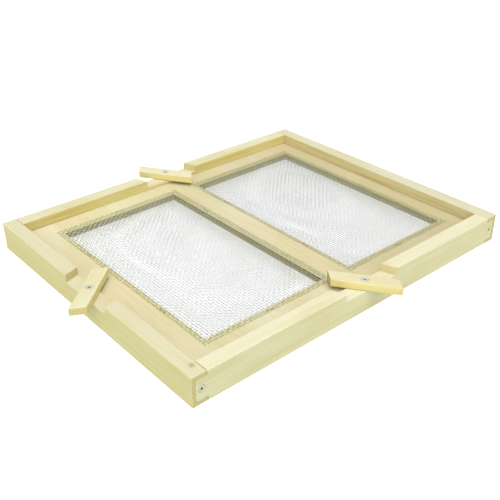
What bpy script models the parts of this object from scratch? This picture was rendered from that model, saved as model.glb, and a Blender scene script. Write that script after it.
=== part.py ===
"""Double screen board for a ten-frame hive.

Four grooved softwood rails hold a plywood panel at mid height. Two windows in the panel are
covered above and below with stapled woven wire screens. Three rails have an entrance notch,
and in each notch a wooden block turns on one screw. Metres, +Z up. The origin is the middle of
the whole footprint, on the plane that the rim stands on, and +X runs along the long side.
"""
import math

import bmesh
import bpy

MM = 0.001
GAP = 0.3 * MM  # air left between two solids that touch
OVERCUT = 2.0 * MM  # how far a cutter runs past the face it opens

# Rim of four rails: the end rails run the full width, and the side rails sit between them.
RIM_LENGTH = 508.0 * MM
RIM_WIDTH = 413.0 * MM
RIM_HEIGHT = 38.0 * MM
RAIL_WIDTH = 19.5 * MM
RAIL_EDGE = 0.8 * MM  # rounding of a rail's arrises
EDGE_SEGMENTS = 2  # flats that make up a rounded edge
GROOVE_DEPTH = 4.5 * MM

# Corner joint: a tenon on each side rail fills an open pocket in the end rail.
TENON_LENGTH = 14.5 * MM
TENON_HEIGHT = 27.0 * MM

# Plywood panel and its two windows, as (low X, high X) from the rim's centre.
PANEL_THICKNESS = 9.0 * MM
LEFT_WINDOW = (-194.0 * MM, -18.0 * MM)
RIGHT_WINDOW = (26.5 * MM, 204.0 * MM)
WINDOW_WIDTH = 302.0 * MM

# Woven wire screens, each a little larger than its window.
WIRE = 0.6 * MM
SCREEN_THICKNESS = 2.0 * WIRE
SCREEN_WIDTH = 322.0 * MM
LEFT_SCREEN = (-203.0 * MM, -8.5 * MM)
RIGHT_SCREEN = (19.0 * MM, 210.5 * MM)

# Staples that hold the screens to the panel.
STAPLE_CROWN = 10.5 * MM
STAPLE_HEIGHT = 6.0 * MM
STAPLE_BREADTH = 1.25 * MM
STAPLE_WIRE = 0.5 * MM
STAPLE_INSET = 4.5 * MM  # from the screen's edge to the crown's centre line
STAPLE_SPACING = 160.0 * MM  # between the two staples on a long edge

# Entrance notches and the blocks that turn in them. Their ends are cut to the same slant.
NOTCH_LENGTH = 87.0 * MM
NOTCH_DEPTH = 10.0 * MM
END_SLANT = math.radians(20.0)
BLOCK_LENGTH = 83.5 * MM
BLOCK_WIDTH = 19.0 * MM
BLOCK_THICKNESS = 9.4 * MM
BLOCK_EDGE = 0.6 * MM
PIVOT_INSET = 8.5 * MM  # from the rail's outer face to the pivot screw's axis
FRONT_PIVOT_X = 2.5 * MM
BACK_PIVOT_X = 1.0 * MM
LEFT_PIVOT_Y = -2.5 * MM

# How far each block stands turned from closed.
FRONT_TURN = math.radians(-55.0)
BACK_TURN = math.radians(-56.0)
LEFT_TURN = math.radians(-48.3)

# Countersunk screws with a cross recess.
SCREW_STEPS = 24
SCREW_MERGE = 0.05 * MM  # points of a turned shape closer than this are one point
SHANK_RADIUS = 2.0 * MM
HEAD_RADIUS = 4.3 * MM
HEAD_RIM = 0.4 * MM  # straight edge of the head above its cone
HEAD_DEPTH = 3.0 * MM
TIP_LENGTH = 4.0 * MM
PIVOT_SCREW_LENGTH = 30.0 * MM
CORNER_SCREW_LENGTH = 40.0 * MM
RECESS_LENGTH = 5.0 * MM
RECESS_WIDTH = 1.2 * MM
RECESS_DEPTH = 2.0 * MM
RECESS_TAPER = 0.45  # length of the recess at its floor, as a share of its length at the top

# Heights that follow from the sizes above.
PANEL_FLOOR = (RIM_HEIGHT - PANEL_THICKNESS) / 2
PANEL_TOP = PANEL_FLOOR + PANEL_THICKNESS
NOTCH_FLOOR = RIM_HEIGHT - NOTCH_DEPTH
BLOCK_FLOOR = NOTCH_FLOOR + GAP
BLOCK_TOP = BLOCK_FLOOR + BLOCK_THICKNESS
TENON_FLOOR = (RIM_HEIGHT - TENON_HEIGHT) / 2
TENON_TOP = TENON_FLOOR + TENON_HEIGHT
INNER_X = RIM_LENGTH / 2 - RAIL_WIDTH
INNER_Y = RIM_WIDTH / 2 - RAIL_WIDTH
CORNER_SCREW_X = INNER_X + TENON_LENGTH / 2

# The pivots, as name: (X, Y, turn of the closed block, turn from closed).
PIVOTS = {
    "front": (FRONT_PIVOT_X, PIVOT_INSET - RIM_WIDTH / 2, 0.0, FRONT_TURN),
    "back": (BACK_PIVOT_X, RIM_WIDTH / 2 - PIVOT_INSET, math.pi, BACK_TURN),
    "left": (PIVOT_INSET - RIM_LENGTH / 2, LEFT_PIVOT_Y, -math.pi / 2, LEFT_TURN),
}

# sRGB colour, roughness and metallic value of each material.
FINISHES = {
    "softwood": ((0.91, 0.86, 0.67), 0.62, 0.0),
    "plywood": ((0.89, 0.81, 0.66), 0.65, 0.0),
    "galvanised_wire": ((0.80, 0.81, 0.80), 0.40, 0.9),
    "zinc_plate": ((0.72, 0.73, 0.70), 0.30, 1.0),
}


def linear(channel):
    """One sRGB channel as a linear value."""
    if channel <= 0.04045:
        return channel / 12.92
    return ((channel + 0.055) / 1.055) ** 2.4


def make_materials():
    materials = {}
    for name, (colour, roughness, metallic) in FINISHES.items():
        material = bpy.data.materials.new(name)
        material.use_nodes = True
        shader = material.node_tree.nodes["Principled BSDF"]
        shader.inputs["Base Color"].default_value = (*map(linear, colour), 1.0)
        shader.inputs["Roughness"].default_value = roughness
        shader.inputs["Metallic"].default_value = metallic
        materials[name] = material
    return materials


def new_collection(name):
    collection = bpy.data.collections.new(name)
    bpy.context.scene.collection.children.link(collection)
    return collection


def block_overhang(turn):
    """How far a block turned from closed reaches out past the rail's outer face."""
    lean = BLOCK_WIDTH / 2 * math.tan(END_SLANT)
    far_x = BLOCK_LENGTH / 2 + lean
    reach = far_x * abs(math.sin(turn)) + BLOCK_WIDTH / 2 * math.cos(turn)
    return reach - PIVOT_INSET


class Builder:
    """Adds objects to the board, all of them placed from the rim's centre."""

    def __init__(self):
        self.materials = make_materials()
        self.parts = new_collection("double_screen_board")
        self.cutters = new_collection("cutters")
        self.centre = bpy.data.objects.new("rim_centre", None)
        self.centre.location.x = block_overhang(LEFT_TURN) / 2
        self.parts.objects.link(self.centre)

    def part(self, name, mesh, material, location=(0, 0, 0), turn=(0, 0, 0)):
        obj = bpy.data.objects.new(name, mesh)
        obj.location = location
        obj.rotation_euler = turn
        obj.parent = self.centre
        obj.data.materials.append(self.materials[material])
        self.parts.objects.link(obj)
        return obj

    def cutter(self, name, mesh, location=(0, 0, 0), turn=(0, 0, 0)):
        obj = bpy.data.objects.new(name, mesh)
        obj.location = location
        obj.rotation_euler = turn
        obj.parent = self.centre
        obj.hide_render = True
        obj.display_type = "WIRE"
        self.cutters.objects.link(obj)
        return obj

    def box_cutter(self, name, low, high):
        mesh, middle = box_between(name, low, high)
        return self.cutter(name, mesh, middle)


def mesh_from(bm, name):
    mesh = bpy.data.meshes.new(name)
    bm.to_mesh(mesh)
    bm.free()
    return mesh


def box_mesh(name, size, slant=0.0):
    """A box about its own centre; with a slant its X ends lean back as Y grows."""
    bm = bmesh.new()
    bmesh.ops.create_cube(bm, size=1.0)
    bmesh.ops.scale(bm, vec=size, verts=bm.verts)
    for vert in bm.verts:
        vert.co.x -= vert.co.y * math.tan(slant)
    return mesh_from(bm, name)


def box_between(name, low, high):
    """A box mesh for two opposite corners, and the place of its centre."""
    size = [b - a for a, b in zip(low, high)]
    middle = [(a + b) / 2 for a, b in zip(low, high)]
    return box_mesh(name, size), middle


def cut(obj, cutter):
    modifier = obj.modifiers.new(cutter.name, "BOOLEAN")
    modifier.operation = "DIFFERENCE"
    modifier.solver = "EXACT"
    modifier.object = cutter


def round_edges(obj, width):
    modifier = obj.modifiers.new("rounded_edges", "BEVEL")
    modifier.width = width
    modifier.segments = EDGE_SEGMENTS


def turned_mesh(name, profile):
    """A line mesh of (radius, height) points, listed from the top down the outer side."""
    mesh = bpy.data.meshes.new(name)
    points = [(radius, 0.0, height) for radius, height in profile]
    mesh.from_pydata(points, [(i, i + 1) for i in range(len(points) - 1)], [])
    return mesh


def spin(obj):
    modifier = obj.modifiers.new("turned", "SCREW")
    modifier.axis = "Z"
    modifier.angle = math.tau
    modifier.steps = SCREW_STEPS
    modifier.render_steps = SCREW_STEPS
    modifier.use_smooth_shade = True
    modifier.use_merge_vertices = True
    modifier.merge_threshold = SCREW_MERGE
    return obj


def screw_profile(length):
    return [
        (0.0, 0.0),
        (HEAD_RADIUS, 0.0),
        (HEAD_RADIUS, -HEAD_RIM),
        (SHANK_RADIUS, -HEAD_DEPTH),
        (SHANK_RADIUS, TIP_LENGTH - length),
        (0.0, -length),
    ]


def bore_profile(length):
    """The space that a screw needs, open above its head."""
    wide = HEAD_RADIUS + GAP
    narrow = SHANK_RADIUS + GAP
    return [
        (0.0, OVERCUT),
        (wide, OVERCUT),
        (wide, -HEAD_RIM - GAP),
        (narrow, -HEAD_DEPTH - GAP),
        (narrow, TIP_LENGTH - length),
        (0.0, -length - GAP),
    ]


def recess_blade_mesh():
    """One of the two tapered blades that press the cross into a screw head."""
    bm = bmesh.new()
    bmesh.ops.create_cube(bm, size=1.0)
    bmesh.ops.scale(bm, vec=(RECESS_LENGTH, RECESS_WIDTH, 2 * RECESS_DEPTH), verts=bm.verts)
    for vert in bm.verts:
        if vert.co.z < 0:
            vert.co.x *= RECESS_TAPER
    return mesh_from(bm, "recess_blade")


def add_screw(board, name, length, location, turn=(0, 0, 0)):
    """A screw with the middle of its head at the location, and the cutter for its bore."""
    screw = board.part(name, turned_mesh(name, screw_profile(length)), "zinc_plate", location, turn)
    spin(screw)
    for blade_turn in (0.0, math.pi / 2):
        blade = board.cutter(f"{name}_recess", recess_blade_mesh())
        blade.parent = screw
        blade.rotation_euler.z = blade_turn + math.pi / 4
        cut(screw, blade)
    bore = board.cutter(f"{name}_bore", turned_mesh("bore", bore_profile(length)), location, turn)
    return spin(bore)


def add_pivot_screws(board):
    bores = {}
    for side, (x, y, _, _) in PIVOTS.items():
        place = (x, y, BLOCK_TOP)
        bores[side] = add_screw(board, f"{side}_pivot_screw", PIVOT_SCREW_LENGTH, place)
    return bores


def add_corner_screws(board):
    """Four screws, each through a tenon and into the end grain of the end rail."""
    bores = {}
    for y_side, y_sign in (("front", -1), ("back", 1)):
        for x_side, x_sign in (("left", -1), ("right", 1)):
            place = (x_sign * CORNER_SCREW_X, y_sign * RIM_WIDTH / 2, RIM_HEIGHT / 2)
            head_out = (-y_sign * math.pi / 2, 0, 0)
            name = f"corner_screw_{y_side}_{x_side}"
            bores[y_side, x_side] = add_screw(board, name, CORNER_SCREW_LENGTH, place, head_out)
    return bores


def add_blocks(board, pivot_bores):
    size = (BLOCK_LENGTH, BLOCK_WIDTH, BLOCK_THICKNESS)
    for side, (x, y, closed, turn) in PIVOTS.items():
        name = f"{side}_entrance_block"
        place = (x, y, BLOCK_FLOOR + BLOCK_THICKNESS / 2)
        block = board.part(name, box_mesh(name, size, END_SLANT), "softwood", place, (0, 0, closed + turn))
        round_edges(block, BLOCK_EDGE)
        cut(block, pivot_bores[side])


def notch_cutters(board):
    size = (NOTCH_LENGTH, RAIL_WIDTH + 2 * OVERCUT, 2 * NOTCH_DEPTH)
    cutters = {}
    for side, (x, y, closed, _) in PIVOTS.items():
        shift = RAIL_WIDTH / 2 - PIVOT_INSET
        across = closed + math.pi / 2
        place = (x + shift * math.cos(across), y + shift * math.sin(across), RIM_HEIGHT)
        mesh = box_mesh("notch", size, END_SLANT)
        cutters[side] = board.cutter(f"{side}_notch", mesh, place, (0, 0, closed))
    return cutters


def add_side_rail(board, y_side, y_sign, notches, pivot_bores, corner_bores):
    """A long rail: shoulders cut at both ends leave the tenons."""
    tenon_end = INNER_X + TENON_LENGTH
    name = f"{y_side}_side_rail"
    mesh = box_mesh(name, (2 * tenon_end, RAIL_WIDTH, RIM_HEIGHT))
    rail = board.part(name, mesh, "softwood", (0, y_sign * (INNER_Y + RAIL_WIDTH / 2), RIM_HEIGHT / 2))
    round_edges(rail, RAIL_EDGE)
    y_low = min(y_sign * (INNER_Y - OVERCUT), y_sign * (RIM_WIDTH / 2 + OVERCUT))
    y_high = max(y_sign * (INNER_Y - OVERCUT), y_sign * (RIM_WIDTH / 2 + OVERCUT))
    for x_side, x_sign in (("left", -1), ("right", 1)):
        x_low, x_high = sorted((x_sign * (INNER_X - GAP), x_sign * (tenon_end + OVERCUT)))
        for level, z_low, z_high in (
            ("upper", TENON_TOP, RIM_HEIGHT + OVERCUT),
            ("lower", -OVERCUT, TENON_FLOOR),
        ):
            shoulder = board.box_cutter(
                f"{name}_{x_side}_{level}_shoulder", (x_low, y_low, z_low), (x_high, y_high, z_high)
            )
            cut(rail, shoulder)
        cut(rail, corner_bores[y_side, x_side])
    groove_y = sorted((y_sign * (INNER_Y - OVERCUT), y_sign * (INNER_Y + GROOVE_DEPTH)))
    groove = board.box_cutter(
        f"{name}_groove",
        (-tenon_end - OVERCUT, groove_y[0], PANEL_FLOOR - GAP),
        (tenon_end + OVERCUT, groove_y[1], PANEL_TOP + GAP),
    )
    cut(rail, groove)
    cut(rail, notches[y_side])
    cut(rail, pivot_bores[y_side])


def add_end_rail(board, x_side, x_sign, corner_bores):
    """A short rail: an open pocket at each end takes a tenon."""
    name = f"{x_side}_end_rail"
    mesh = box_mesh(name, (RAIL_WIDTH, RIM_WIDTH, RIM_HEIGHT))
    rail = board.part(name, mesh, "softwood", (x_sign * (INNER_X + RAIL_WIDTH / 2), 0, RIM_HEIGHT / 2))
    round_edges(rail, RAIL_EDGE)
    pocket_x = sorted((x_sign * (INNER_X - OVERCUT), x_sign * (INNER_X + TENON_LENGTH + GAP)))
    for y_side, y_sign in (("front", -1), ("back", 1)):
        pocket_y = sorted((y_sign * (INNER_Y - GAP), y_sign * (RIM_WIDTH / 2 + OVERCUT)))
        pocket = board.box_cutter(
            f"{name}_{y_side}_pocket",
            (pocket_x[0], pocket_y[0], TENON_FLOOR - GAP),
            (pocket_x[1], pocket_y[1], TENON_TOP + GAP),
        )
        cut(rail, pocket)
        cut(rail, corner_bores[y_side, x_side])
    groove_x = sorted((x_sign * (INNER_X - OVERCUT), x_sign * (INNER_X + GROOVE_DEPTH)))
    groove = board.box_cutter(
        f"{name}_groove",
        (groove_x[0], -INNER_Y, PANEL_FLOOR - GAP),
        (groove_x[1], INNER_Y, PANEL_TOP + GAP),
    )
    cut(rail, groove)
    return rail


def add_panel(board):
    """The plywood panel, held in the grooves by its edges."""
    name = "screen_panel"
    half_x = INNER_X + GROOVE_DEPTH - GAP
    half_y = INNER_Y + GROOVE_DEPTH - GAP
    mesh, middle = box_between(name, (-half_x, -half_y, PANEL_FLOOR), (half_x, half_y, PANEL_TOP))
    panel = board.part(name, mesh, "plywood", middle)
    for side, (x_low, x_high) in (("left", LEFT_WINDOW), ("right", RIGHT_WINDOW)):
        window = board.box_cutter(
            f"{side}_window",
            (x_low, -WINDOW_WIDTH / 2, PANEL_FLOOR - OVERCUT),
            (x_high, WINDOW_WIDTH / 2, PANEL_TOP + OVERCUT),
        )
        cut(panel, window)
    return panel


def staple_places(x_low, x_high):
    """Crown centres around one screen, as (X, Y, turn about Z)."""
    edge_y = SCREEN_WIDTH / 2 - STAPLE_INSET
    places = [((x_low + x_high) / 2, y, 0.0) for y in (-edge_y, edge_y)]
    for x in (x_low + STAPLE_INSET, x_high - STAPLE_INSET):
        for y in (-STAPLE_SPACING / 2, STAPLE_SPACING / 2):
            places.append((x, y, math.pi / 2))
    return places


def staple_mesh():
    """A staple with its crown's top at the origin and its legs pointing down."""
    bm = bmesh.new()
    outer_x = STAPLE_CROWN / 2
    inner_x = outer_x - STAPLE_WIRE
    half_y = STAPLE_BREADTH / 2
    outline = [
        (-outer_x, 0.0),
        (-outer_x, -STAPLE_HEIGHT),
        (-inner_x, -STAPLE_HEIGHT),
        (-inner_x, -STAPLE_WIRE),
        (inner_x, -STAPLE_WIRE),
        (inner_x, -STAPLE_HEIGHT),
        (outer_x, -STAPLE_HEIGHT),
        (outer_x, 0.0),
    ]
    face = bm.faces.new([bm.verts.new((x, -half_y, z)) for x, z in outline])
    side = bmesh.ops.extrude_face_region(bm, geom=[face])
    moved = [item for item in side["geom"] if isinstance(item, bmesh.types.BMVert)]
    bmesh.ops.translate(bm, vec=(0, STAPLE_BREADTH, 0), verts=moved)
    bmesh.ops.recalc_face_normals(bm, faces=bm.faces)
    return mesh_from(bm, "staple")


def staple_hole_mesh():
    """Two slots, a gap wider than the legs all round, that pass up through the screen."""
    bm = bmesh.new()
    leg_x = (STAPLE_CROWN - STAPLE_WIRE) / 2
    size = (STAPLE_WIRE + 2 * GAP, STAPLE_BREADTH + 2 * GAP, STAPLE_HEIGHT + GAP)
    for x in (-leg_x, leg_x):
        made = bmesh.ops.create_cube(bm, size=1.0)
        bmesh.ops.scale(bm, vec=size, verts=made["verts"])
        bmesh.ops.translate(bm, vec=(x, 0, -size[2] / 2), verts=made["verts"])
    return mesh_from(bm, "staple_holes")


def add_screens(board, panel):
    """A screen above and a screen below each window, each with its ring of staples."""
    for level, sign, panel_face in (("upper", 1, PANEL_TOP), ("lower", -1, PANEL_FLOOR)):
        near = panel_face + sign * GAP
        far = near + sign * SCREEN_THICKNESS
        crown_top = far + sign * (GAP + STAPLE_WIRE)
        flip = 0.0 if sign > 0 else math.pi
        for side, (x_low, x_high) in (("left", LEFT_SCREEN), ("right", RIGHT_SCREEN)):
            name = f"{level}_{side}_screen"
            low = (x_low, -SCREEN_WIDTH / 2, min(near, far))
            high = (x_high, SCREEN_WIDTH / 2, max(near, far))
            mesh, middle = box_between(name, low, high)
            screen = board.part(name, mesh, "galvanised_wire", middle)
            for number, (x, y, turn) in enumerate(staple_places(x_low, x_high), 1):
                label = f"{level}_{side}_staple_{number}"
                place = (x, y, crown_top)
                board.part(label, staple_mesh(), "zinc_plate", place, (flip, 0, turn))
                holes = board.cutter(f"{label}_holes", staple_hole_mesh(), place, (flip, 0, turn))
                cut(screen, holes)
                cut(panel, holes)


def main():
    for obj in list(bpy.data.objects):
        bpy.data.objects.remove(obj)
    board = Builder()
    pivot_bores = add_pivot_screws(board)
    corner_bores = add_corner_screws(board)
    notches = notch_cutters(board)
    for y_side, y_sign in (("front", -1), ("back", 1)):
        add_side_rail(board, y_side, y_sign, notches, pivot_bores, corner_bores)
    left_rail = add_end_rail(board, "left", -1, corner_bores)
    cut(left_rail, notches["left"])
    cut(left_rail, pivot_bores["left"])
    add_end_rail(board, "right", 1, corner_bores)
    add_blocks(board, pivot_bores)
    add_screens(board, add_panel(board))


main()
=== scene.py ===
"""The looks of a wooden double screen board: softwood rim, plywood panel, woven wire screens.

The CAD solids stay as they are and get their materials here. Only the four thin sheets that
stand for the wire screens are replaced, each by a sheet of crossing wires of its own.
Metres, +Z up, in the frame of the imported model.
"""

import math

import bpy
import numpy as np
from mathutils import Matrix, Vector

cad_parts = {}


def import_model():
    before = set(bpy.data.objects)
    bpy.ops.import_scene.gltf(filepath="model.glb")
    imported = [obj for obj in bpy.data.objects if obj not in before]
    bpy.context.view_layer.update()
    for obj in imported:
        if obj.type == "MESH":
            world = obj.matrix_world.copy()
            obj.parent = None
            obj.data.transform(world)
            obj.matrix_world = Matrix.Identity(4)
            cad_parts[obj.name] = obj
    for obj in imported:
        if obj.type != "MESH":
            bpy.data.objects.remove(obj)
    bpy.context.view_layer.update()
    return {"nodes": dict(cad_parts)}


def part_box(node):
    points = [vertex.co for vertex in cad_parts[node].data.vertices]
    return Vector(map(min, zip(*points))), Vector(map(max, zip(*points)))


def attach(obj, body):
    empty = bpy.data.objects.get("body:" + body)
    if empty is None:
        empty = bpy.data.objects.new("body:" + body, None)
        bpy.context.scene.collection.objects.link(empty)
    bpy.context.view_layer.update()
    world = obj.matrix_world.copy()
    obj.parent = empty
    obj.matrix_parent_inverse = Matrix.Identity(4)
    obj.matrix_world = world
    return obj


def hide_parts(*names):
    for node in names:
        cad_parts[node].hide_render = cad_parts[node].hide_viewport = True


MM = 0.001

# The camera looks at a point near the board's middle and leans very slightly to one side.
CAMERA_TARGET = (-17.45 * MM, -36.25 * MM, 19.0 * MM)
CAMERA_HEADING = math.radians(49.449)
CAMERA_PITCH = math.radians(-30.613)
CAMERA_ROLL = math.radians(-0.342)
CAMERA_DISTANCE = 955.3 * MM
CAMERA_LENS = 53.70
CAMERA_NEAR = 10.0 * MM

# The room's light, and the soft lights in it: direction, cosines at edge and heart, strength.
AMBIENT_LIGHT = 0.40
SOFT_LIGHTS = (
    ((0.05, -0.10, 1.0), 0.84, 0.97, 4.0),
    ((-0.60, -0.70, 0.35), 0.30, 0.95, 1.4),
)

# The floor, which gives off most of the light that it is seen by.
FLOOR_REACH = 30.0
FLOOR_DROP = 0.2 * MM
FLOOR_GREY = 0.35
FLOOR_GLOW = 0.82

# Woven wire. It rises more at its crossings than touching wires would, to bring out the weave.
WIRE_RADIUS = 0.27 * MM
WIRE_SIDES = 6
WIRE_PITCH = 4.0 * MM
WIRE_WANDER = 0.10 * MM  # spread of the wires about their even places
WIRE_OVERHANG = 2.5 * MM  # cut ends past the outermost crossing wires
CUT_UNEVENNESS = 0.5 * MM  # spread of how much shorter some ends are cut
CRIMP_RISE = 0.45 * MM  # a wire's centre line above and below the middle of the cloth
CRIMP_FLAT = 0.2  # half the level part of a wire at a crossing, as a share of the pitch

# The windows that the screens cover, and how much further apart the two sheets of a pair stand
# at the window's middle than at its edges.
RIM_X = 15.785 * MM
WINDOW_X = {
    "left": (RIM_X - 194.0 * MM, RIM_X - 18.0 * MM),
    "right": (RIM_X + 26.5 * MM, RIM_X + 204.0 * MM),
}
WINDOW_HALF_Y = 151.0 * MM
BULGE = {"left": 5.0 * MM, "right": 2.8 * MM}
BULGE_FLATNESS = 2.5

# The planes of the screws' head faces, and the depths where the cross recesses in them start and
# stop being dark with painted shade.
PIVOT_HEAD_Z = 37.7 * MM
CORNER_HEAD_Y = 206.5 * MM
RECESS_TOP = (0.15 * MM, 0.5 * MM)
RECESS_FLOOR = (2.2 * MM, 2.6 * MM)
RECESS_PAINTED_SHADE = (92, 98, 92)

# Zinc-coated steel: sRGB colours of bright and dull patches, roughness, and a patch's size.
METALS = {
    "galvanised_wire": ((240, 242, 241), (222, 224, 223), 0.22, 2.0 * MM),
    "zinc_pivot_screw": ((240, 242, 230), (222, 226, 214), 0.45, 1.2 * MM),
    "zinc_corner_screw": ((208, 212, 188), (184, 190, 166), 0.45, 1.2 * MM),
    "staple_steel": ((234, 232, 200), (214, 212, 182), 0.50, 1.0 * MM),
}

# Painted reflection: wires are yellower near wood, as if they reflected it: the tint, half the
# width of its soft edge at a window's left and front walls, and the distances from the right and
# back walls between which it fades out.
PAINTED_WOOD_REFLECTION_TINT = (246, 247, 214)
NEAR_WOOD_EDGE = 2.0 * MM
NEAR_WOOD_FADE = (5.0 * MM, 14.0 * MM)

# Softwood. Each stick has its own sRGB tones, with the photo's light on its faces in them.
FACES = ("top", "outer", "inner", "end")
RAIL_TONES = {
    "front": ((209, 206, 178), (213, 212, 171), (214, 202, 145), (218, 210, 156)),
    "back": ((203, 200, 168), (208, 207, 164), (207, 198, 138), (218, 210, 156)),
    "left": ((200, 196, 165), (216, 213, 155), (212, 201, 144), (198, 191, 138)),
    "right": ((198, 196, 170), (212, 209, 163), (211, 201, 152), (198, 191, 138)),
}
# The entrance blocks' face tones carry painted light and shade too.
BLOCK_TONES = ((208, 204, 171), (219, 209, 143), (219, 209, 143), (200, 191, 133))
OUTWARD = {"front": (0, -1, 0), "back": (0, 1, 0), "left": (-1, 0, 0), "right": (1, 0, 0)}
FIRST_RAIL_SEED = 1
FIRST_BLOCK_SEED = 7
SEED_SHIFT = (0.31, 0.17, 0.23)

# The pith lies beside the stick, in another direction for each seed.
RING_PITCH = 3.1 * MM
RING_DRIFT = 16.0 * MM
PITH_AWAY = 52.0 * MM
PITH_DROP = 30.0 * MM
PITH_TURN = 2.1

# Streaks show more on the faces towards the panel.
STREAK_DEPTH = 0.22
INNER_STREAK_DEPTH = 0.60

# Softwood's marks, in noise cells per metre along the grain and across it.
DRIFT_SCALE = (4.0, 14.0, 14.0)
FIBRE_SCALE = (26.0, 1300.0, 1300.0)
STREAK_SCALE = (7.0, 210.0, 210.0)
CLOUD_SCALE = (9.0, 34.0, 34.0)
PORE_SCALE = (1500.0, 1500.0, 1500.0)

# The pin knot, from the front left corner of the left rail's top.
KNOT_X, KNOT_Y = 13.0 * MM, 16.0 * MM
KNOT_SCALE = (420.0, 420.0, 420.0)

# Plywood, with the grain of its faces along Y, and noise cells per metre along X, Y and Z.
PLIES = 7
FLOW_LINES = 11.0
FLOW_SCALE = (16.0, 3.2, 16.0)
VENEER_PORE_SCALE = (1100.0, 70.0, 1100.0)
VENEER_FIBRE_SCALE = (420.0, 14.0, 420.0)
VENEER_CLOUD_SCALE = (13.0, 5.0, 13.0)
BLUSH_SCALE = (30.0, 11.0, 30.0)
BLUSH_SHIFT = (3.0, 1.0, 0.0)
SPECK_SCALE = (900.0, 900.0, 2200.0)
# Painted shade: the panel's veneer gets darker towards +X between these two places.
PAINTED_SHADE_X = (-120.0 * MM, 260.0 * MM)  # where the veneer starts and stops getting darker

TIMBER_SPECULAR = 0.30


def linear(red, green, blue):
    """An RGBA colour for shader sockets from 8-bit sRGB channels."""
    channels = [c / 255 for c in (red, green, blue)]
    return (*[c / 12.92 if c <= 0.04045 else ((c + 0.055) / 1.055) ** 2.4 for c in channels], 1.0)


class Tree:
    """Short calls for writing one material's node tree."""

    def __init__(self, name):
        self.material = bpy.data.materials.new(name)
        self.material.use_nodes = True
        self.nodes = self.material.node_tree.nodes
        self.links = self.material.node_tree.links
        self.shader = self.nodes["Principled BSDF"]
        where = self.nodes.new("ShaderNodeTexCoord")
        self.place = where.outputs["Object"]
        self.facing = where.outputs["Normal"]

    def node(self, kind, inputs, **settings):
        made = self.nodes.new("ShaderNode" + kind)
        for key, value in settings.items():
            setattr(made, key, value)
        for key, value in inputs.items():
            self.feed(made.inputs[key], value)
        return made

    def feed(self, socket, value):
        if isinstance(value, bpy.types.NodeSocket):
            self.links.new(value, socket)
        else:
            socket.default_value = value

    def maths(self, operation, a, b=0.0, c=0.0):
        return self.node("Math", {0: a, 1: b, 2: c}, operation=operation).outputs[0]

    def times(self, a, b):
        return self.maths("MULTIPLY", a, b)

    def minus(self, a, b):
        return self.maths("SUBTRACT", a, b)

    def absolute(self, value):
        return self.maths("ABSOLUTE", value)

    def vector(self, operation, a, b=(0.0, 0.0, 0.0)):
        return self.node("VectorMath", {0: a, 1: b}, operation=operation).outputs[0]

    def dot(self, a, b):
        made = self.node("VectorMath", {0: a, 1: b}, operation="DOT_PRODUCT")
        return made.outputs["Value"]

    def length(self, vector):
        return self.node("VectorMath", {0: vector}, operation="LENGTH").outputs["Value"]

    def turned(self, vector, angle):
        inputs = {"Vector": vector, "Angle": angle}
        return self.node("VectorRotate", inputs, rotation_type="Z_AXIS").outputs[0]

    def parts(self, vector):
        return self.node("SeparateXYZ", {0: vector}).outputs

    def noise(self, vector, stretch, detail=2.0, roughness=0.5, output="Fac"):
        inputs = {
            "Vector": self.vector("MULTIPLY", vector, stretch),
            "Scale": 1.0,
            "Detail": detail,
            "Roughness": roughness,
        }
        return self.node("TexNoise", inputs).outputs[output]

    def step(self, value, low, high):
        """A smooth rise from 0 at low to 1 at high."""
        inputs = {"Value": value, "From Min": low, "From Max": high}
        return self.node("MapRange", inputs, interpolation_type="SMOOTHSTEP").outputs[0]

    def blend(self, amount, a, b, kind="MIX"):
        made = self.node("Mix", {0: amount, 6: a, 7: b}, data_type="RGBA", blend_type=kind)
        return made.outputs[2]

    def tinted(self, colour, amount, tint):
        """The colour multiplied by an sRGB tint, by that amount."""
        return self.blend(amount, colour, linear(*tint), "MULTIPLY")

    def bump(self, height, strength, distance):
        inputs = {"Height": height, "Strength": strength, "Distance": distance}
        return self.node("Bump", inputs).outputs[0]

    def finish(self, **sockets):
        for name, value in sockets.items():
            self.feed(self.shader.inputs[name.replace("_", " ")], value)
        return self.material


def growth_rings(tree, along, grain, middle, angle, seed):
    """A mask for the dark late wood of rings around a pith beside the stick's middle."""
    drift = tree.noise(grain, DRIFT_SCALE, 1.0, output="Color")
    drift = tree.vector("SUBTRACT", drift, (0.5, 0.5, 0.5))
    drift = tree.vector("MULTIPLY", drift, (0.0, RING_DRIFT, RING_DRIFT))
    pith = middle.copy()
    pith.rotate(Matrix.Rotation(-angle, 3, "Z"))
    pith.y += PITH_AWAY * math.cos(PITH_TURN * seed)
    pith.z += PITH_AWAY * math.sin(PITH_TURN * seed) - PITH_DROP
    section = tree.vector("SUBTRACT", tree.vector("ADD", along, drift), pith)
    radius = tree.length(tree.vector("MULTIPLY", section, (0.0, 1.0, 1.0)))
    phase = tree.maths("FRACT", tree.times(radius, 1 / RING_PITCH))
    return tree.times(tree.step(phase, 0.25, 0.86), tree.step(phase, 1.0, 0.90))


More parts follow.
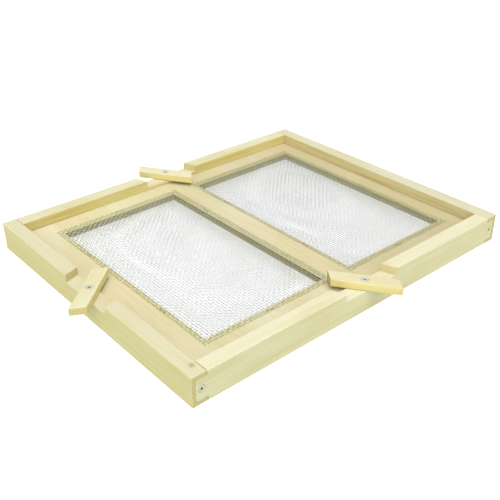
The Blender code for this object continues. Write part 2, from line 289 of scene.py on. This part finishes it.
def pine(node, angle, seed, tones, outward=(0.0, 0.0, 0.0), knot=None):
    """Planed softwood for a CAD node, with its grain at that angle about Z.

    tones are the sRGB colours of the up and down, outer, inner and end-grain faces, with painted
    light and shade in them.
    """
    tree = Tree(node + "_wood")
    tones = {face: linear(*tone) for face, tone in zip(FACES, tones)}
    low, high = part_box(node)
    along = tree.turned(tree.place, -angle)
    grain = tree.vector("ADD", along, [share * seed for share in SEED_SHIFT])
    late = growth_rings(tree, along, grain, (low + high) / 2, angle, seed)
    fibre = tree.noise(grain, FIBRE_SCALE, 3.0, 0.65)
    streak = tree.noise(grain, STREAK_SCALE, 2.0, 0.6)
    cloud = tree.noise(grain, CLOUD_SCALE)
    pores = tree.noise(grain, PORE_SCALE, 1.0)

    # Painted light and shade: each face takes its own lit or shaded tone by the way it faces.
    end = tree.step(tree.absolute(tree.parts(tree.turned(tree.facing, -angle))[0]), 0.55, 0.85)
    level = tree.step(tree.absolute(tree.parts(tree.facing)[2]), 0.45, 0.75)
    side = tree.step(tree.dot(tree.facing, outward), -0.4, 0.4)
    colour = tree.blend(side, tones["inner"], tones["outer"])
    colour = tree.blend(level, colour, tones["top"])

    inner = tree.times(tree.minus(1.0, side), tree.minus(1.0, level))
    added_depth = INNER_STREAK_DEPTH - STREAK_DEPTH
    streak_depth = tree.maths("MULTIPLY_ADD", inner, added_depth, STREAK_DEPTH)
    for mask, depth, tint in (
        (late, 0.12, (232, 208, 148)),
        (tree.step(streak, 0.45, 0.75), streak_depth, (236, 218, 176)),
        (tree.step(fibre, 0.50, 0.80), 0.25, (226, 206, 158)),
        (tree.step(cloud, 0.40, 0.70), 0.45, (244, 234, 206)),
    ):
        colour = tree.tinted(colour, tree.times(mask, depth), tint)

    end_colour = tree.tinted(tones["end"], tree.times(late, 0.18), (214, 194, 136))
    end_colour = tree.tinted(end_colour, tree.times(pores, 0.25), (216, 204, 160))
    colour = tree.blend(end, colour, end_colour)
    if knot:
        colour = add_knot(tree, colour, knot)

    rough = tree.maths("MULTIPLY_ADD", fibre, 0.22, 0.46)
    rough = tree.maths("MULTIPLY_ADD", end, 0.12, rough)
    relief = tree.maths("MULTIPLY_ADD", late, 0.25, fibre)
    relief = tree.maths("MULTIPLY_ADD", tree.times(pores, end), 1.2, relief)
    return tree.finish(
        Base_Color=colour,
        Roughness=rough,
        Specular_IOR_Level=TIMBER_SPECULAR,
        Normal=tree.bump(relief, 0.25, 0.25 * MM),
    )


def add_knot(tree, colour, place):
    """A small round pin knot at that place, with a dark core and a stain around it."""
    away = tree.length(tree.vector("SUBTRACT", tree.place, place))
    wobble = tree.noise(tree.place, KNOT_SCALE, 1.0)
    away = tree.times(away, tree.maths("MULTIPLY_ADD", wobble, 0.9, 0.55))
    stain = tree.times(tree.step(away, 5.2 * MM, 1.6 * MM), 0.55)
    colour = tree.tinted(colour, stain, (206, 188, 122))
    core = tree.times(tree.step(away, 2.1 * MM, 1.3 * MM), 0.55)
    return tree.blend(core, colour, linear(164, 146, 82))


def veneer_colour(tree, pores, fibre):
    """The colour of the panel's faces: rotary-cut veneer with flowing lines and pores, darkened
    towards +X by painted shade.
    """
    flow = tree.noise(tree.place, FLOW_SCALE, 2.0, 0.55)
    contour = tree.maths("FRACT", tree.times(flow, FLOW_LINES))
    line = tree.times(tree.step(contour, 0.35, 0.9), tree.step(contour, 1.0, 0.93))
    cloud = tree.noise(tree.place, VENEER_CLOUD_SCALE)
    blush = tree.noise(tree.vector("ADD", tree.place, BLUSH_SHIFT), BLUSH_SCALE, 1.0)

    face = tree.blend(tree.step(cloud, 0.35, 0.65), linear(205, 200, 168), linear(199, 192, 151))
    blushing = tree.times(tree.step(blush, 0.45, 0.7), 0.6)
    face = tree.blend(blushing, face, linear(204, 191, 157))
    # Painted shade: the veneer darkens towards +X.
    face = tree.tinted(face, tree.step(tree.parts(tree.place)[0], *PAINTED_SHADE_X), (233, 228, 224))
    for mask, depth, tint in (
        (line, 0.07, (214, 184, 140)),
        (tree.step(fibre, 0.45, 0.75), 0.20, (228, 208, 170)),
        (tree.step(pores, 0.62, 0.74), 0.20, (200, 170, 130)),
    ):
        face = tree.tinted(face, tree.times(mask, depth), tint)
    return face


def ply_colour(tree, floor, thickness):
    """The colour of the panel's cut edges: plies of alternate grain, with dark glue between. The
    ply tones are darkened to dark olive as painted shade on the window walls.
    """
    height = tree.parts(tree.place)[2]
    depth = tree.times(tree.minus(height, floor), PLIES / thickness)
    odd = tree.maths("MODULO", tree.maths("FLOOR", depth), 2.0)
    within = tree.maths("FRACT", depth)
    wood = tree.times(tree.step(within, 0.0, 0.10), tree.step(within, 1.0, 0.90))
    # Painted shade: the ply tones are dark olive, since the window walls lie in shade.
    edge = tree.blend(odd, linear(146, 136, 58), linear(124, 112, 40))
    speck = tree.noise(tree.place, SPECK_SCALE)
    edge = tree.tinted(edge, tree.times(speck, 0.5), (206, 182, 134))
    return tree.blend(wood, linear(92, 82, 32), edge)


def plywood(name, floor, thickness):
    """Birch-like plywood between those heights, with its face grain along Y."""
    tree = Tree(name)
    pores = tree.noise(tree.place, VENEER_PORE_SCALE, 2.0, 0.6)
    fibre = tree.noise(tree.place, VENEER_FIBRE_SCALE, 3.0, 0.6)
    level = tree.step(tree.absolute(tree.parts(tree.facing)[2]), 0.4, 0.8)
    edge = ply_colour(tree, floor, thickness)
    relief = tree.minus(fibre, tree.times(tree.step(pores, 0.60, 0.72), 0.7))
    return tree.finish(
        Base_Color=tree.blend(level, edge, veneer_colour(tree, pores, fibre)),
        Roughness=tree.maths("MULTIPLY_ADD", fibre, 0.2, 0.48),
        Specular_IOR_Level=TIMBER_SPECULAR,
        Normal=tree.bump(relief, 0.22, 0.2 * MM),
    )


def metal(name, mask=None, tint=None):
    """Zinc-coated steel: a patchy crystalline coat over fine drawn marks.

    A mask is a function that gives 0 to 1 on the tree, for where the sRGB tint is laid over.
    """
    bright, dull, roughness, patch_size = METALS[name]
    tree = Tree(name)
    patches = tree.noise(tree.place, (1 / patch_size,) * 3, 2.0, 0.6)
    marks = tree.noise(tree.place, (5 / patch_size,) * 3, 2.0, 0.6)
    colour = tree.blend(tree.step(patches, 0.35, 0.65), linear(*bright), linear(*dull))
    if mask:
        colour = tree.tinted(colour, mask(tree), tint)
    return tree.finish(
        Base_Color=colour,
        Metallic=1.0,
        Roughness=tree.maths("MULTIPLY_ADD", marks, 0.20, roughness),
        Normal=tree.bump(marks, 0.15, 0.05 * MM),
    )


def wood_reflection_mask(tree):
    """A mask for the painted reflection of wood on wires that lie on the panel or beside a
    window's right and back walls.
    """
    x, y, _ = tree.parts(tree.place)
    near, far = NEAR_WOOD_FADE

    def clear(value, low, high):
        rise = tree.step(value, low - NEAR_WOOD_EDGE, low + NEAR_WOOD_EDGE)
        return tree.times(rise, tree.step(value, high - near, high - far))

    clear_x = tree.maths("MAXIMUM", clear(x, *WINDOW_X["left"]), clear(x, *WINDOW_X["right"]))
    clear_y = clear(y, -WINDOW_HALF_Y, WINDOW_HALF_Y)
    return tree.minus(1.0, tree.times(clear_x, clear_y))


def painted_recess_shade(axis, face):
    """A mask for painted shade in the cross recesses below screw head faces that lie that far out
    on an axis.
    """

    def mask(tree):
        depth = tree.minus(face, tree.absolute(tree.parts(tree.place)[axis]))
        shallow, deep = RECESS_FLOOR
        return tree.times(tree.step(depth, *RECESS_TOP), tree.step(depth, deep, shallow))

    return mask


def long_angle(obj):
    """The heading of an object's longest direction in plan."""
    points = np.array([v.co[:2] for v in obj.data.vertices])
    points -= (points.max(0) + points.min(0)) / 2
    _, axes = np.linalg.eigh(points.T @ points)
    return math.atan2(axes[1, 1], axes[0, 1])


def dress(obj, material):
    for slot in obj.material_slots:
        slot.material = material


def wire_places(low, high):
    """Even places for parallel wires between two cut edges."""
    count = round((high - low - 2 * WIRE_OVERHANG) / WIRE_PITCH) + 1
    return np.linspace(low + WIRE_OVERHANG, high - WIRE_OVERHANG, count)


def wires_along(places, crossings, start, end, first_over):
    """Centre lines of parallel crimped wires as a (wire, point, 3) array of along, across, up."""
    flat = CRIMP_FLAT * (crossings[1] - crossings[0])
    level_parts = np.stack([crossings - flat, crossings + flat], 1).ravel()
    along = np.concatenate([[start], level_parts, [end]])
    sign = np.where(np.arange(len(crossings)) % 2 == 0, 1.0, -1.0)
    up = np.concatenate([[0.0], np.repeat(sign, 2), [0.0]]) * CRIMP_RISE
    flip = np.where(np.arange(len(places)) % 2 == first_over, 1.0, -1.0)
    lines = np.zeros((len(places), len(along), 3))
    lines[..., 0] = along
    lines[..., 1] = places[:, None]
    lines[..., 2] = flip[:, None] * up
    return lines


def tube_mesh(name, groups):
    """One mesh of round wires along groups of centre lines, closed at their ends."""
    vertices, faces = [], []
    first = 0
    turns = np.arange(WIRE_SIDES) * math.tau / WIRE_SIDES
    cosines, sines = np.cos(turns)[:, None], np.sin(turns)[:, None]
    for lines in groups:
        tangent = np.gradient(lines, axis=1)
        tangent /= np.linalg.norm(tangent, axis=2, keepdims=True)
        side = np.cross(tangent, (0.0, 0.0, 1.0))
        side /= np.linalg.norm(side, axis=2, keepdims=True)
        lift = np.cross(side, tangent)
        around = cosines * side[:, :, None] + sines * lift[:, :, None]
        rings = lines[:, :, None] + WIRE_RADIUS * around
        count, length = lines.shape[:2]
        index = first + np.arange(rings[..., 0].size).reshape(count, length, WIRE_SIDES)
        ahead = np.roll(index, -1, axis=2)
        quads = np.stack([index[:, :-1], index[:, 1:], ahead[:, 1:], ahead[:, :-1]], -1)
        vertices.append(rings.reshape(-1, 3))
        faces += quads.reshape(-1, 4).tolist()
        faces += index[:, 0].tolist()
        faces += index[:, -1, ::-1].tolist()
        first += rings[..., 0].size
    mesh = bpy.data.meshes.new(name)
    mesh.from_pydata(np.concatenate(vertices).tolist(), [], faces)
    mesh.shade_smooth()
    return mesh


def bulge_out(lines, level, side):
    """Slack in the cloth: over its window a sheet stands away from the panel like a pillow."""
    x_low, x_high = WINDOW_X[side]
    across = (lines[..., 0] - (x_low + x_high) / 2) / ((x_high - x_low) / 2)
    along = lines[..., 1] / WINDOW_HALF_Y
    rise = np.clip(1 - np.abs(across) ** BULGE_FLATNESS, 0, 1)
    rise = rise * np.clip(1 - np.abs(along) ** BULGE_FLATNESS, 0, 1)
    lines[..., 2] += BULGE[side] / 2 * rise * (1 if level == "upper" else -1)


def add_screen(level, side, material, seed):
    """One woven wire screen in the space of its CAD sheet."""
    node = f"{level}_{side}_screen"
    low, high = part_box(node)
    rng = np.random.default_rng(seed)
    columns = wire_places(low.x, high.x)
    rows = wire_places(low.y, high.y)
    lengthwise = wires_along(columns, rows, low.y, high.y, 0)[..., [1, 0, 2]]
    crosswise = wires_along(rows, columns, low.x, high.x, 1)
    for lines, across in ((lengthwise, 0), (crosswise, 1)):
        lines[..., across] += rng.normal(0.0, WIRE_WANDER, (len(lines), 1))
        cut_short = np.abs(rng.normal(0.0, CUT_UNEVENNESS, (len(lines), 2)))
        lines[:, 0, 1 - across] += cut_short[:, 0]
        lines[:, -1, 1 - across] -= cut_short[:, 1]
        lines[..., 2] += (low.z + high.z) / 2
        bulge_out(lines, level, side)
    name = f"{level}_{side}_woven_screen"
    screen = bpy.data.objects.new(name, tube_mesh(name, (lengthwise, crosswise)))
    screen.data.materials.append(material)
    bpy.context.collection.objects.link(screen)
    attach(screen, "board")
    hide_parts(node)


def add_camera():
    flat = math.cos(CAMERA_PITCH)
    ahead_x, ahead_y = flat * math.cos(CAMERA_HEADING), flat * math.sin(CAMERA_HEADING)
    ahead = Vector((ahead_x, ahead_y, math.sin(CAMERA_PITCH)))
    place = Vector(CAMERA_TARGET) - CAMERA_DISTANCE * ahead
    turn = ahead.to_track_quat("-Z", "Y").to_matrix() @ Matrix.Rotation(CAMERA_ROLL, 3, "Z")
    camera = bpy.data.objects.new("camera", bpy.data.cameras.new("camera"))
    camera.matrix_world = Matrix.Translation(place) @ turn.to_4x4()
    camera.data.lens = CAMERA_LENS
    camera.data.clip_start = CAMERA_NEAR
    bpy.context.collection.objects.link(camera)
    bpy.context.scene.camera = camera


def floor_material():
    """A self-lit sheet for eyes and reflections from above; all other light passes through."""
    tree = Tree("pale_floor")
    path = tree.node("LightPath", {}).outputs
    seen = tree.maths("MAXIMUM", path["Is Camera Ray"], path["Is Glossy Ray"])
    below = tree.nodes.new("ShaderNodeNewGeometry").outputs["Backfacing"]
    return tree.finish(
        Base_Color=(FLOOR_GREY, FLOOR_GREY, FLOOR_GREY, 1.0),
        Roughness=0.9,
        Specular_IOR_Level=0.0,
        Emission_Color=(1.0, 1.0, 1.0, 1.0),
        Emission_Strength=FLOOR_GLOW,
        Alpha=tree.times(seen, tree.minus(1.0, below)),
    )


def light_world(tree):
    """A room with a wide soft light overhead and a weaker one from the camera's side.

    The camera itself sees it plain white.
    """
    nodes, links = tree.nodes, tree.links
    heading = nodes.new("ShaderNodeTexCoord").outputs["Generated"]
    total = AMBIENT_LIGHT
    for direction, low, high, strength in SOFT_LIGHTS:
        towards = nodes.new("ShaderNodeVectorMath")
        towards.operation = "DOT_PRODUCT"
        links.new(heading, towards.inputs[0])
        towards.inputs[1].default_value = Vector(direction).normalized()
        glow = nodes.new("ShaderNodeMapRange")
        glow.interpolation_type = "SMOOTHSTEP"
        links.new(towards.outputs["Value"], glow.inputs["Value"])
        glow.inputs["From Min"].default_value = low
        glow.inputs["From Max"].default_value = high
        glow.inputs["To Max"].default_value = strength
        added = nodes.new("ShaderNodeMath")
        links.new(glow.outputs[0], added.inputs[0])
        if isinstance(total, float):
            added.inputs[1].default_value = total
        else:
            links.new(total, added.inputs[1])
        total = added.outputs[0]
    seen = nodes.new("ShaderNodeMix")
    links.new(nodes.new("ShaderNodeLightPath").outputs["Is Camera Ray"], seen.inputs[0])
    links.new(total, seen.inputs[2])
    seen.inputs[3].default_value = 1.0
    links.new(seen.outputs[0], nodes["Background"].inputs["Strength"])
    nodes["Background"].inputs["Color"].default_value = (1.0, 1.0, 1.0, 1.0)


def add_studio():
    """An even white room with soft light from two sides, and a pale floor."""
    world = bpy.data.worlds.new("studio")
    bpy.context.scene.world = world
    world.use_nodes = True
    light_world(world.node_tree)

    mesh = bpy.data.meshes.new("floor")
    corners = ((-1, -1), (1, -1), (1, 1), (-1, 1))
    points = [(x * FLOOR_REACH, y * FLOOR_REACH, 0) for x, y in corners]
    mesh.from_pydata(points, [], [(0, 1, 2, 3)])
    floor = bpy.data.objects.new("floor", mesh)
    floor.location.z = -FLOOR_DROP
    bpy.context.collection.objects.link(floor)
    mesh.materials.append(floor_material())
    bpy.context.scene.view_settings.view_transform = "Standard"


def dress_timber(nodes):
    for seed, (side, outward) in enumerate(OUTWARD.items(), FIRST_RAIL_SEED):
        kind, angle = ("side", 0.0) if side in ("front", "back") else ("end", math.pi / 2)
        name = f"{side}_{kind}_rail"
        low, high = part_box(name)
        knot = (low.x + KNOT_X, low.y + KNOT_Y, high.z) if side == "left" else None
        dress(nodes[name], pine(name, angle, seed, RAIL_TONES[side], outward, knot))
    for seed, side in enumerate(("front", "back", "left"), FIRST_BLOCK_SEED):
        name = f"{side}_entrance_block"
        dress(nodes[name], pine(name, long_angle(nodes[name]), seed, BLOCK_TONES))
    low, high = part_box("screen_panel")
    dress(nodes["screen_panel"], plywood("panel_plywood", low.z, high.z - low.z))


def dress_fixings(nodes):
    # Painted shade darkens the cross recesses of the screw heads.
    pivot_screw = metal("zinc_pivot_screw", painted_recess_shade(2, PIVOT_HEAD_Z), RECESS_PAINTED_SHADE)
    corner_screw = metal("zinc_corner_screw", painted_recess_shade(1, CORNER_HEAD_Y), RECESS_PAINTED_SHADE)
    staple = metal("staple_steel")
    for name, node in nodes.items():
        if name.endswith("pivot_screw"):
            dress(node, pivot_screw)
        elif name.startswith("corner_screw"):
            dress(node, corner_screw)
        elif "_staple_" in name:
            dress(node, staple)


def main():
    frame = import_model()
    add_camera()
    add_studio()
    dress_timber(frame["nodes"])
    dress_fixings(frame["nodes"])
    # The wires carry a painted reflection of the wood: a yellow tint near the panel and the
    # window walls.
    wire = metal("galvanised_wire", wood_reflection_mask, PAINTED_WOOD_REFLECTION_TINT)
    screens = [(level, side) for level in ("upper", "lower") for side in ("left", "right")]
    for seed, (level, side) in enumerate(screens):
        add_screen(level, side, wire, seed)


main()
